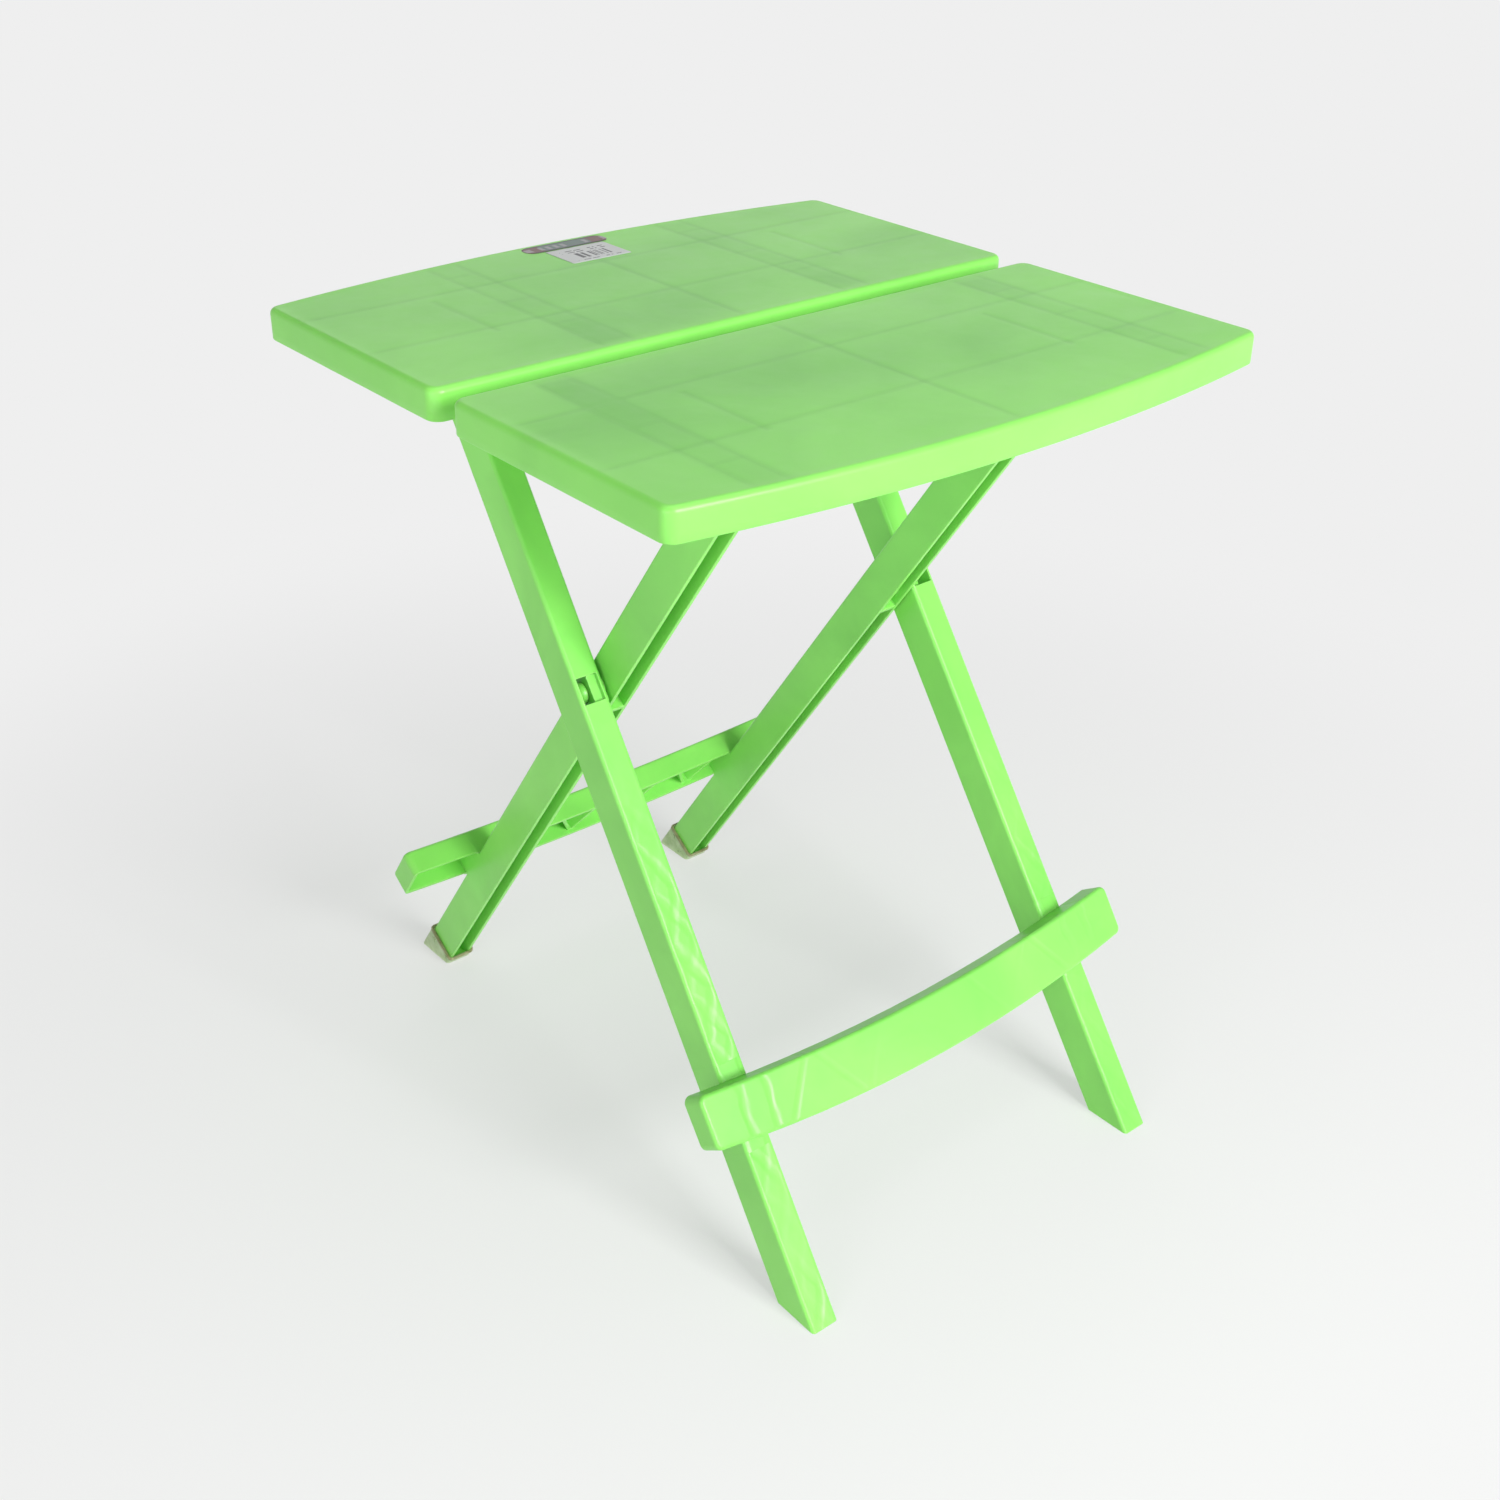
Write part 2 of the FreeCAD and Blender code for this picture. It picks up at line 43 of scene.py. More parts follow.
LEG_LEAN = np.radians(34.88)
SCISSOR_HEIGHT = 0.3075
LIME = (0.265, 0.755, 0.130, 1)
LIME_DEEP = (0.170, 0.560, 0.085, 1)
# The paler lime below is painted along rounded edges as a highlight.
LIME_EDGE_HIGHLIGHT = (0.46, 0.88, 0.28, 1)
MARK_HALF, WALL_MARK_HALF, SLANT_MARK_HALF, MARK_WANDER = 0.0052, 0.0042, 0.006, 0.009
MARK_EDGE_FADE, MARK_END_GAP = 0.0030, 0.0006
BAR_MIDDLE, BAR_HALF, SLANT_MIDDLE, SLANT_RISE = 0.249, 0.026, 0.253, 0.042
WALL_MARK_INSET, ZIGZAG_MARGIN, BAR_BAYS = 0.001, 0.004, 4


def socket(node, **values):
    """Sets a shader node's unlinked inputs, each named with underscores for its spaces."""
    for name, value in values.items():
        node.inputs[name.replace("_", " ")].default_value = value


def calc(tree, operation, *terms):
    """A math node of sockets and numbers; gives its output socket."""
    node = tree.nodes.new("ShaderNodeMath")
    node.operation = operation
    for place, term in enumerate(terms):
        if hasattr(term, "links"):
            tree.links.new(term, node.inputs[place])
        else:
            node.inputs[place].default_value = term
    return node.outputs[0]


def groove(tree, distance, half_width):
    """1 where distance is zero, falling smoothly to 0 at half_width."""
    nearness = tree.nodes.new("ShaderNodeMapRange")
    nearness.interpolation_type = "SMOOTHERSTEP"
    socket(nearness, From_Min=half_width, From_Max=0.0)
    tree.links.new(calc(tree, "ABSOLUTE", distance), nearness.inputs["Value"])
    return nearness.outputs["Result"]


def moulded_lime(name, rib_shade_tone=None, sinks=None):
    """Satin lime: cloudy mottling, painted highlights along rounded edges, uneven gloss, skin grain, slow
    ripples and sinks.
    """
    material = bpy.data.materials.new(name)
    material.use_nodes = True
    tree = material.node_tree
    nodes, links = tree.nodes, tree.links
    shader = nodes["Principled BSDF"]
    socket(shader, Specular_IOR_Level=0.5, IOR=1.49, Subsurface_Weight=0.15,
           Subsurface_Radius=(0.5, 1.0, 0.25), Subsurface_Scale=0.0025)
    place = nodes.new("ShaderNodeTexCoord")

    clouds = nodes.new("ShaderNodeTexNoise")
    socket(clouds, Scale=11.0, Detail=4.0, Roughness=0.55, Distortion=0.6)
    links.new(place.outputs["Object"], clouds.inputs["Vector"])
    depth = nodes.new("ShaderNodeMapRange")
    socket(depth, From_Min=0.35, From_Max=0.70, To_Min=0.0, To_Max=0.6)
    links.new(clouds.outputs["Fac"], depth.inputs["Value"])
    deep = depth.outputs["Result"]
    # On the leaves an attribute darkens the lime with painted shade over the ribs, and with random tone.
    if rib_shade_tone:
        rib_shade_marks = nodes.new("ShaderNodeAttribute")
        rib_shade_marks.attribute_name = rib_shade_tone
        deep = calc(tree, "ADD", calc(tree, "MULTIPLY", deep, 0.6), rib_shade_marks.outputs["Fac"])
    mottle_and_rib_shade = nodes.new("ShaderNodeMix")
    mottle_and_rib_shade.data_type = "RGBA"
    mottle_and_rib_shade.inputs["A"].default_value = LIME
    mottle_and_rib_shade.inputs["B"].default_value = LIME_DEEP
    links.new(deep, mottle_and_rib_shade.inputs["Factor"])

    edge = nodes.new("ShaderNodeBevel")
    edge.samples = 4
    socket(edge, Radius=0.0010)
    flat = nodes.new("ShaderNodeNewGeometry")
    agree = nodes.new("ShaderNodeVectorMath")
    agree.operation = "DOT_PRODUCT"
    links.new(edge.outputs["Normal"], agree.inputs[0])
    links.new(flat.outputs["Normal"], agree.inputs[1])
    # Painted highlight: at rounded edges, where the bevelled normal turns away from the face's own, the
    # colour is mixed towards the paler lime.
    edge_highlight_mask = nodes.new("ShaderNodeMapRange")
    socket(edge_highlight_mask, From_Min=0.995, From_Max=0.86, To_Min=0.0, To_Max=0.6)
    links.new(agree.outputs["Value"], edge_highlight_mask.inputs["Value"])
    edge_highlighted = nodes.new("ShaderNodeMix")
    edge_highlighted.data_type = "RGBA"
    edge_highlighted.inputs["B"].default_value = LIME_EDGE_HIGHLIGHT
    links.new(edge_highlight_mask.outputs["Result"], edge_highlighted.inputs["Factor"])
    links.new(mottle_and_rib_shade.outputs["Result"], edge_highlighted.inputs["A"])
    links.new(edge_highlighted.outputs["Result"], shader.inputs["Base Color"])

    wear = nodes.new("ShaderNodeTexNoise")
    socket(wear, Scale=45.0, Detail=6.0, Roughness=0.65)
    links.new(place.outputs["Object"], wear.inputs["Vector"])
    satin = nodes.new("ShaderNodeMapRange")
    socket(satin, To_Min=0.27, To_Max=0.43)
    links.new(wear.outputs["Fac"], satin.inputs["Value"])
    links.new(satin.outputs["Result"], shader.inputs["Roughness"])

    grain = nodes.new("ShaderNodeTexNoise")
    socket(grain, Scale=1400.0, Detail=2.0)
    links.new(place.outputs["Object"], grain.inputs["Vector"])
    skin = nodes.new("ShaderNodeBump")
    socket(skin, Strength=0.12, Distance=0.0002)
    links.new(grain.outputs["Fac"], skin.inputs["Height"])
    links.new(edge.outputs["Normal"], skin.inputs["Normal"])
    ripple = nodes.new("ShaderNodeTexNoise")
    socket(ripple, Scale=38.0, Detail=2.0, Roughness=0.4)
    links.new(place.outputs["Object"], ripple.inputs["Vector"])
    waves = nodes.new("ShaderNodeBump")
    socket(waves, Strength=0.35, Distance=0.0009)
    links.new(ripple.outputs["Fac"], waves.inputs["Height"])
    links.new(skin.outputs["Normal"], waves.inputs["Normal"])
    normal = waves.outputs["Normal"]
    if sinks:
        dent = nodes.new("ShaderNodeBump")
        dent.invert = True
        socket(dent, Strength=0.75, Distance=0.00042)
        links.new(sinks(tree, place.outputs["Object"]), dent.inputs["Height"])
        links.new(normal, dent.inputs["Normal"])
        normal = dent.outputs["Normal"]
    links.new(normal, shader.inputs["Normal"])
    return material


def frame_sinks(side, at_scissor, slope, width, zigzag_pitch):
    """Sink marks of one frame, in coordinates that lie along its leaned legs.

    Along is the distance up the leg from the scissor, and the offset is the distance across from
    the leg's middle. A zigzag is where the offset equals a triangle wave of along, and its
    mirror, and each bar line is where along equals a triangle wave of the distance across.
    """
    def height(tree, position):
        split = tree.nodes.new("ShaderNodeSeparateXYZ")
        tree.links.new(position, split.inputs[0])
        across = calc(tree, "ABSOLUTE", split.outputs["X"])
        raised = calc(tree, "SUBTRACT", split.outputs["Z"], SCISSOR_HEIGHT)
        along = calc(tree, "ADD", calc(tree, "MULTIPLY", raised, float(np.cos(LEG_LEAN))),
                     calc(tree, "MULTIPLY", split.outputs["Y"], side * float(np.sin(LEG_LEAN))))
        middle = calc(tree, "ADD", calc(tree, "MULTIPLY", along, slope), at_scissor - width / 2)
        wander = tree.nodes.new("ShaderNodeTexNoise")
        socket(wander, Scale=60.0, Detail=1.0)
        tree.links.new(position, wander.inputs["Vector"])
        wobble = calc(tree, "MULTIPLY", calc(tree, "SUBTRACT", wander.outputs["Fac"], 0.5), MARK_WANDER)
        plain_offset = calc(tree, "SUBTRACT", across, middle)
        off_middle = calc(tree, "ADD", plain_offset, wobble)
        swing = calc(tree, "SUBTRACT", calc(tree, "PINGPONG", along, zigzag_pitch), zigzag_pitch / 2)
        reach = (width - ZIGZAG_MARGIN) / zigzag_pitch
        on_leg = tree.nodes.new("ShaderNodeMapRange")
        socket(on_leg, From_Min=width / 2 - MARK_END_GAP, From_Max=width / 2 - MARK_EDGE_FADE)
        tree.links.new(calc(tree, "ABSOLUTE", plain_offset), on_leg.inputs["Value"])
        slope_line = calc(tree, "MULTIPLY", swing, reach)
        rising = groove(tree, calc(tree, "SUBTRACT", off_middle, slope_line), MARK_HALF)
        falling = groove(tree, calc(tree, "ADD", off_middle, slope_line), MARK_HALF)
        leg_line = calc(tree, "ADD", rising, calc(tree, "MULTIPLY", falling, 0.6))
        leg_line = calc(tree, "MULTIPLY", leg_line, on_leg.outputs["Result"])

        from_bar = calc(tree, "ABSOLUTE", calc(tree, "ADD", along, BAR_MIDDLE))
        on_bar = calc(tree, "LESS_THAN", from_bar, BAR_HALF)
        wall = width / 2 - WALL_MARK_INSET
        walls = calc(tree, "ADD",
                     groove(tree, calc(tree, "SUBTRACT", off_middle, wall), WALL_MARK_HALF),
                     groove(tree, calc(tree, "ADD", off_middle, wall), WALL_MARK_HALF))
        bay = (at_scissor - width) / BAR_BAYS
        slant = calc(tree, "SUBTRACT", calc(tree, "PINGPONG", across, bay), bay / 2)
        rise = calc(tree, "SUBTRACT", calc(tree, "ADD", along, SLANT_MIDDLE),
                    calc(tree, "MULTIPLY", slant, SLANT_RISE / bay))
        inboard = calc(tree, "LESS_THAN", off_middle, -width / 2)
        slants = calc(tree, "MULTIPLY", groove(tree, rise, SLANT_MARK_HALF), inboard)
        fade = tree.nodes.new("ShaderNodeMapRange")
        socket(fade, From_Min=0.02, From_Max=0.10, To_Min=0.1, To_Max=0.9)
        tree.links.new(across, fade.inputs["Value"])
        slants = calc(tree, "MULTIPLY", slants, fade.outputs["Result"])
        bar_lines = calc(tree, "MULTIPLY", calc(tree, "ADD", walls, slants), on_bar)
        off_bar = calc(tree, "SUBTRACT", 1.0, on_bar)
        lines = calc(tree, "ADD", bar_lines, calc(tree, "MULTIPLY", leg_line, off_bar))
        patches = tree.nodes.new("ShaderNodeTexNoise")
        socket(patches, Scale=13.0, Detail=1.0)
        tree.links.new(position, patches.inputs["Vector"])
        cooled = tree.nodes.new("ShaderNodeMapRange")
        socket(cooled, From_Min=0.38, From_Max=0.58, To_Min=0.15, To_Max=1.0)
        tree.links.new(patches.outputs["Fac"], cooled.inputs["Value"])
        thick_end = tree.nodes.new("ShaderNodeMapRange")
        socket(thick_end, From_Min=-0.05, From_Max=-0.13, To_Min=0.05, To_Max=1.0)
        tree.links.new(along, thick_end.inputs["Value"])
        lines = calc(tree, "MULTIPLY", lines, thick_end.outputs["Result"])
        return calc(tree, "MULTIPLY", lines, cooled.outputs["Result"])
    return height


outer_lime = moulded_lime("outer_lime", sinks=frame_sinks(1, 0.1369, -0.0143, 0.0186, 0.030))
inner_lime = moulded_lime("inner_lime", sinks=frame_sinks(-1, 0.1155, -0.0041, 0.0165, 0.033))
for name, lime in {"outer_frame": outer_lime, "inner_frame": inner_lime}.items():
    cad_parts[name].data.materials.clear()
    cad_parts[name].data.materials.append(lime)

# ---------------------------------------------------------------- leaves
# Each half of the top is a shallow tray, open below, with a bowed outer edge and soft rounded rims.
# Ribs behind the skin show through it as faint sunken lines with painted shade, and painted shade makes
# cloudy bands between the double ribs, darkest near the gap.

HALF_WIDTH, NEAR_EDGE, END_DEPTH, BOW = 0.204, 0.00775, 0.176, 0.0185
TOP, UNDERSIDE, SKIN = 0.500, 0.482, 0.0025
CORNER, RIM_ROUND = 0.008, 0.0034
RIB_FOOT, RIB_HALF, RIB_SINK, WEB_RAISE = 0.4885, 0.001, 0.0006, 0.0005
RIM_INSET, SKIN_SETTLE, TONE_SETTLE, SKIN_DIP = 0.002, 0.004, 0.012, 0.00015
GHOST_HALF, GHOST_DEPTH, LUG_GHOST_HALF, LUG_GHOST_DEPTH = 0.0021, 0.00013, 0.002, 0.00018
RIPPLE_DEPTH, MEETING = 0.00012, 1e-6
CORNER_STEPS, LONG_STEPS, SHORT_STEPS = 5, 200, 88
WELD, CLOUDS = 0.00005, 9
HINGE_Y, HINGE_Z = 0.10317, 0.4555
LUG_HALF_BASE, LUG_HALF, LUG_ROUND, BOSS_ROUND, PIN_ROUND = 0.032, 0.002, 0.008, 0.0068, 0.0036


def mesh_piece(name, points, quads, material):
    """A smooth-shaded object of points (n, 3) and four-cornered faces (m, 4)."""
    mesh = bpy.data.meshes.new(name)
    mesh.from_pydata(points.tolist(), [], quads.tolist())
    mesh.polygons.foreach_set("use_smooth", np.ones(len(mesh.polygons), bool))
    mesh.materials.append(material)
    mesh.validate()
    piece = bpy.data.objects.new(name, mesh)
    bpy.context.scene.collection.objects.link(piece)
    return piece


def weld(piece):
    """Merges meeting points, so that seams and poles close, and turns every face outward."""
    shell = bmesh.new()
    shell.from_mesh(piece.data)
    bmesh.ops.remove_doubles(shell, verts=shell.verts, dist=WELD)
    bmesh.ops.recalc_face_normals(shell, faces=shell.faces)
    shell.to_mesh(piece.data)
    shell.free()


def sheet_quads(rows, columns, closed):
    """Faces of a rows by columns sheet of points, its columns joined into a ring if closed."""
    r, c = np.meshgrid(np.arange(rows - 1), np.arange(columns if closed else columns - 1), indexing="ij")
    right = (c + 1) % columns
    corners = [r * columns + c, r * columns + right, (r + 1) * columns + right, (r + 1) * columns + c]
    return np.stack(corners, -1).reshape(-1, 4)


def leaf_outline():
    """The rim as points and outward normals: two near corners, then two on the bowed edge.

    A point is its corner circle's centre plus the circle's radius along a turning normal, and
    the sides run straight, or along the bow's circle, between those corner arcs.
    """
    bow_radius = (HALF_WIDTH ** 2 + BOW ** 2) / (2 * BOW)
    bow_centre = NEAR_EDGE + END_DEPTH + BOW - bow_radius
    inner_x = HALF_WIDTH - CORNER
    far_y = bow_centre + np.sqrt((bow_radius - CORNER) ** 2 - inner_x ** 2)
    bow_angle = np.arctan2(far_y - bow_centre, inner_x)

    def arc(x, y, start, stop):
        turn = np.linspace(start, stop, CORNER_STEPS + 1)
        normal = np.stack([np.cos(turn), np.sin(turn)], -1)
        return np.array([x, y]) + CORNER * normal, normal

    def side(start, stop, normal, steps):
        t = np.linspace(0, 1, steps - 2 * CORNER_STEPS + 1)[1:-1, None]
        return start + (stop - start) * t, np.tile(normal, (len(t), 1))

    near_y = NEAR_EDGE + CORNER
    half = np.pi / 4
    near_left = arc(-inner_x, near_y, -3 * half, -2 * half)
    near_right = arc(inner_x, near_y, -2 * half, -half)
    near = side(near_left[0][-1], near_right[0][0], (0, -1), LONG_STEPS)
    right_low = arc(inner_x, near_y, -half, 0)
    right_high = arc(inner_x, far_y, 0, bow_angle / 2)
    right = side(right_low[0][-1], right_high[0][0], (1, 0), SHORT_STEPS)
    far_right = arc(inner_x, far_y, bow_angle / 2, bow_angle)
    sweep = np.linspace(bow_angle, np.pi - bow_angle, LONG_STEPS - 2 * CORNER_STEPS + 1)[1:-1]
    bow_normal = np.stack([np.cos(sweep), np.sin(sweep)], -1)
    bow = np.array([0, bow_centre]) + bow_radius * bow_normal, bow_normal
    far_left = [part[::-1] * (-1, 1) for part in far_right]
    left_high = [part[::-1] * (-1, 1) for part in right_high]
    left = [part[::-1] * (-1, 1) for part in right]
    left_low = [part[::-1] * (-1, 1) for part in right_low]
    runs = [near_left, near, near_right, right_low, right, right_high, far_right, bow, far_left,
            left_high, left, left_low]
    points, normals = (np.concatenate([run[i] for run in runs]) for i in (0, 1))
    keep = np.linalg.norm(points - np.roll(points, 1, 0), axis=1) > MEETING
    return points[keep], normals[keep]


def filled_field(rim):
    """Points (rows, columns, 2) inside a rim: each blends its opposite sides and its corners."""
    near = rim[:LONG_STEPS + 1]
    right = rim[LONG_STEPS:LONG_STEPS + SHORT_STEPS + 1]
    far = rim[LONG_STEPS + SHORT_STEPS:2 * LONG_STEPS + SHORT_STEPS + 1][::-1]
    left = np.concatenate([rim[2 * LONG_STEPS + SHORT_STEPS:], rim[:1]])[::-1]
    u = ((near[:, 0] - near[0, 0]) / np.ptp(near[:, 0]))[None, :, None]
    v = ((left[:, 1] - left[0, 1]) / np.ptp(left[:, 1]))[:, None, None]
    across = (1 - u) * left[:, None] + u * right[:, None]
    along = (1 - v) * near[None] + v * far[None]
    corners = (1 - v) * ((1 - u) * near[0] + u * near[-1]) + v * ((1 - u) * far[0] + u * far[-1])
    return across + along - corners


def skin_marks(x, y, layout, seed):
    """How deep (metres) the skin sinks, and how dark (0 to 1) it is painted: painted shade over the ribs and
    between them, and random tone.
    """
    far = NEAR_EDGE + END_DEPTH
    x0, x1 = layout["pairs"]
    depth = np.zeros_like(x)
    shade_and_tone = np.zeros_like(x)
    # Each rib line below sinks the skin and darkens it with painted shade.
    lines = [(x, 1.0)] + [(x - s * p, 0.8) for s in (-1, 1) for p in (x0, x1)]
    lines += [(y - c, 0.7) for c in layout["cross"]]
    for distance, weight in lines:
        ghost = weight * np.exp(-(distance / GHOST_HALF) ** 2)
        depth += GHOST_DEPTH * ghost
        shade_and_tone += 0.40 * ghost
    # The hinge plates show through the skin the same way, with painted shade.
    lug = np.exp(-((np.abs(x) - layout["lug"]) / LUG_GHOST_HALF) ** 2)
    lug = lug * (np.abs(y - HINGE_Y) < LUG_HALF_BASE + RIM_INSET)
    depth += LUG_GHOST_DEPTH * lug
    shade_and_tone += 0.30 * lug
    # Painted shade between each pair of double ribs, darkest near the gap, and along the webs that join
    # them.
    band = 1 / (1 + np.exp(-(x1 - np.abs(x)) / 0.002)) / (1 + np.exp(-(np.abs(x) - x0) / 0.002))
    shade_and_tone += band * (0.16 + 0.34 * np.exp(-((y - NEAR_EDGE - 0.022) / 0.022) ** 2))
    for web in layout["webs"]:
        shade_and_tone += 0.2 * band * np.exp(-((y - web) / 0.002) ** 2)
    # Random tone: one step per bay, and soft clouds.
    flow = np.random.default_rng(seed)
    columns = np.searchsorted((-x1, -x0, 0, x0, x1), x)
    rows = np.searchsorted(layout["cross"], y)
    shade_and_tone += flow.uniform(0, 0.20, (6, 3))[columns, rows]
    clouds = [flow.uniform(low, high, CLOUDS) for low, high in
              ((-0.18, 0.18), (0.03, far), (0.018, 0.05), (0.08, 0.36))]
    for centre_x, centre_y, reach, strength in zip(*clouds):
        spread = ((x - centre_x) / (reach * 1.8)) ** 2 + ((y - centre_y) / reach) ** 2
        shade_and_tone += strength * np.exp(-spread)
    depth += RIPPLE_DEPTH * np.sin(x * 31 + seed) * np.sin(y * 43 + 1.3 * seed)
    return depth, shade_and_tone


def rib_blade(x0, y0, x1, y1, low):
    """A thin rib from one plan point to another: a rounded foot at low, straight sides to the skin.

    The section (offset across, height) is swept along the run, so a point is the run's start
    plus a share of the run plus the offset along the run's own normal. At each end the section
    shrinks to its middle, which closes the rib.
    """
    run = np.array([x1 - x0, y1 - y0])
    across = np.array([-run[1], run[0]]) / np.linalg.norm(run)
    turn = np.linspace(0, np.pi, 7)
    foot = np.stack([-RIB_HALF * 0.8 * np.cos(turn), low + RIB_HALF * (1 - np.sin(turn))], -1)
    top = TOP - SKIN + RIB_SINK
    section = np.concatenate([[(-RIB_HALF * 1.1, top)], foot, [(RIB_HALF * 1.1, top)]])
    middle = np.array([0, (low + top) / 2])
    rows = []
    for step, size in ((0, 0), (0, 1), (0.5, 1), (1, 1), (1, 0)):
        ring = middle + (section - middle) * size
        rows.append(np.concatenate([np.array([x0, y0]) + step * run + ring[:, :1] * across, ring[:, 1:]], 1))
    return np.concatenate(rows), sheet_quads(len(rows), len(section), True)


def lug_plate(middle):
    """Tapered hinge plate under a leaf: its outline, rounded at the pin, swept through its width."""
    turn = np.linspace(-0.18 * np.pi, 1.18 * np.pi, 25)
    nose = np.stack([HINGE_Y + LUG_ROUND * np.cos(turn), HINGE_Z - LUG_ROUND * np.sin(turn)], -1)
    outline = np.concatenate([[(HINGE_Y + LUG_HALF_BASE, UNDERSIDE + 0.0155)],
                              [(HINGE_Y + LUG_HALF_BASE, UNDERSIDE)], nose,
                              [(HINGE_Y - LUG_HALF_BASE, UNDERSIDE)],
                              [(HINGE_Y - LUG_HALF_BASE, UNDERSIDE + 0.0155)]])
    centre = np.array([HINGE_Y, HINGE_Z + 0.006])
    rows = []
    for offset, shrink in ((-LUG_HALF, 0), (-LUG_HALF, 0.98), (-LUG_HALF + 0.0003, 1.0),
                           (LUG_HALF - 0.0003, 1.0), (LUG_HALF, 0.98), (LUG_HALF, 0)):
        ring = centre + (outline - centre) * shrink
        rows.append(np.concatenate([np.full((len(ring), 1), middle + offset), ring], 1))
    return np.concatenate(rows), sheet_quads(len(rows), len(outline), True)


def lug_boss(middle, half_length):
    """The bored barrel at the end of a hinge plate: a ring profile turned about the pin."""
    profile = [(-half_length, PIN_ROUND), (-half_length, BOSS_ROUND - 0.0004),
               (-half_length + 0.0004, BOSS_ROUND), (half_length - 0.0004, BOSS_ROUND),
               (half_length, BOSS_ROUND - 0.0004), (half_length, PIN_ROUND), (-half_length, PIN_ROUND)]
    turn = np.linspace(0, 2 * np.pi, 33)[:-1]
    rows = [np.stack([np.full(32, middle + x), HINGE_Y + r * np.cos(turn), HINGE_Z + r * np.sin(turn)], -1)
            for x, r in profile]
    return np.concatenate(rows), sheet_quads(len(rows), 32, True)


def moulded_leaf(name, layout, side, seed, material):
    """A whole leaf: rings of the rim's profile, a filled top and underside, ribs and hinge lugs."""
    points, normals = leaf_outline()
    turn = np.linspace(np.pi / 2, 0, 8)
    profile = [(RIM_ROUND * (1 - np.cos(a)), TOP - RIM_ROUND * (1 - np.sin(a))) for a in turn]
    profile += [(0, 0.4920), (0, 0.4870), (0, 0.4829), (0.0003, 0.4823), (0.0009, 0.4820),
                (0.0017, 0.4820), (0.0022, 0.4822), (0.0025, 0.4828), (0.0024, 0.4900),
                (0.0024, 0.4962), (0.0032, 0.4974)]
    rings = np.array([np.concatenate([points - inset * normals, np.full((len(points), 1), z)], 1)
                      for inset, z in profile])
    wander = RIPPLE_DEPTH * np.sin(points[:, 0] * 57 + seed) * np.cos(points[:, 1] * 41)
    rings[1:12, :, :2] -= (np.abs(wander)[:, None] * normals)[None]
    quads = [sheet_quads(len(rings), len(points), True)[:, ::-1]]
    parts = [rings.reshape(-1, 3)]
    rib_shade_tones = [np.full(rings.shape[0] * rings.shape[1], 0.05)]
    for ring, height, flip in ((rings[0], TOP, False), (rings[-1], rings[-1][0, 2], True)):
        field = filled_field(ring[:, :2])
        depth, shade_and_tone = skin_marks(field[..., 0], field[..., 1], layout, seed)
        edge = np.minimum.reduce([HALF_WIDTH - np.abs(field[..., 0]), field[..., 1] - NEAR_EDGE,
                                  NEAR_EDGE + END_DEPTH + BOW * (1 - (field[..., 0] / HALF_WIDTH) ** 2)
                                  - field[..., 1]])
        settle = np.clip((edge - RIM_ROUND) / SKIN_SETTLE, 0, 1)
        z = height - settle * (depth + SKIN_DIP)
        face = sheet_quads(field.shape[0], field.shape[1], False)
        parts.append(np.concatenate([field, z[..., None]], -1).reshape(-1, 3))
        quads.append(face[:, ::-1] if flip else face)
        rib_shade_tones.append((shade_and_tone * np.clip(edge / TONE_SETTLE, 0.3, 1)).ravel())

    near = NEAR_EDGE + RIM_INSET
    side_end = HALF_WIDTH - RIM_INSET
    x0, x1 = layout["pairs"]
    blades = []
    for x in (0, x0, x1, -x0, -x1):
        far = NEAR_EDGE + END_DEPTH - RIM_INSET + BOW * (1 - (x / HALF_WIDTH) ** 2)
        blades.append((x, near, x, far, RIB_FOOT))
    for y in layout["cross"]:
        blades.append((-side_end, y, side_end, y, RIB_FOOT))
    for web in layout["webs"]:
        for start, stop in ((x0, x1), (-x1, -x0)):
            blades.append((start, web, stop, web, RIB_FOOT + WEB_RAISE))
    made = [rib_blade(*blade) for blade in blades]
    for middle in (-layout["lug"], layout["lug"]):
        made += [lug_plate(middle), lug_boss(middle, layout["boss"])]
    for body, faces in made:
        parts.append(body)
        quads.append(faces)
        rib_shade_tones.append(np.full(len(body), 0.1))

    starts = np.cumsum([0] + [len(part) for part in parts[:-1]])
    everything = np.concatenate(parts) * (1, side, 1)
    faces = np.concatenate([q + start for q, start in zip(quads, starts)])
    piece = mesh_piece(name, everything, faces if side > 0 else faces[:, ::-1], material)
    # Painted shade over the ribs, with random tone, goes to the material as a point attribute.
    rib_shade_tone = piece.data.attributes.new("rib_shade_and_tone", "FLOAT", "POINT")
    rib_shade_tone.data.foreach_set("value", np.concatenate(rib_shade_tones).astype(np.float32))
    weld(piece)
    return piece


leaf_lime = moulded_lime("leaf_lime", rib_shade_tone="rib_shade_and_tone")
REAR_RIBS = {"pairs": (0.0755, 0.0945), "cross": (0.076, 0.146), "webs": (0.061, 0.111, 0.170),
             "lug": 0.12475, "boss": 0.00655}
FRONT_RIBS = {"pairs": (0.1385, 0.1575), "cross": (0.059, 0.1315), "webs": (0.044, 0.09525, 0.1555),
              "lug": 0.10650, "boss": 0.0055}
for body, layout, side, seed in (("rear_leaf", REAR_RIBS, 1, 3), ("front_leaf", FRONT_RIBS, -1, 8)):
    leaf = moulded_leaf("moulded_" + body, layout, side, seed, leaf_lime)
    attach(leaf, body)
    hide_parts(body)

# ---------------------------------------------------------------- pins
# Plain headed pins of the same plastic join the scissor and the leaf hinges. Their heads are
# turned smooth, so they catch a small bright highlight inside the leg's window.

pin_lime = moulded_lime("pin_lime")
for name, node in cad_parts.items():
    if "_pin_" in name:
        node.data.materials.clear()
        node.data.materials.append(pin_lime)

# ---------------------------------------------------------------- foot caps
# The rear feet stand in soft cups of cloudy yellowed vinyl, with a thicker bead round the rim.


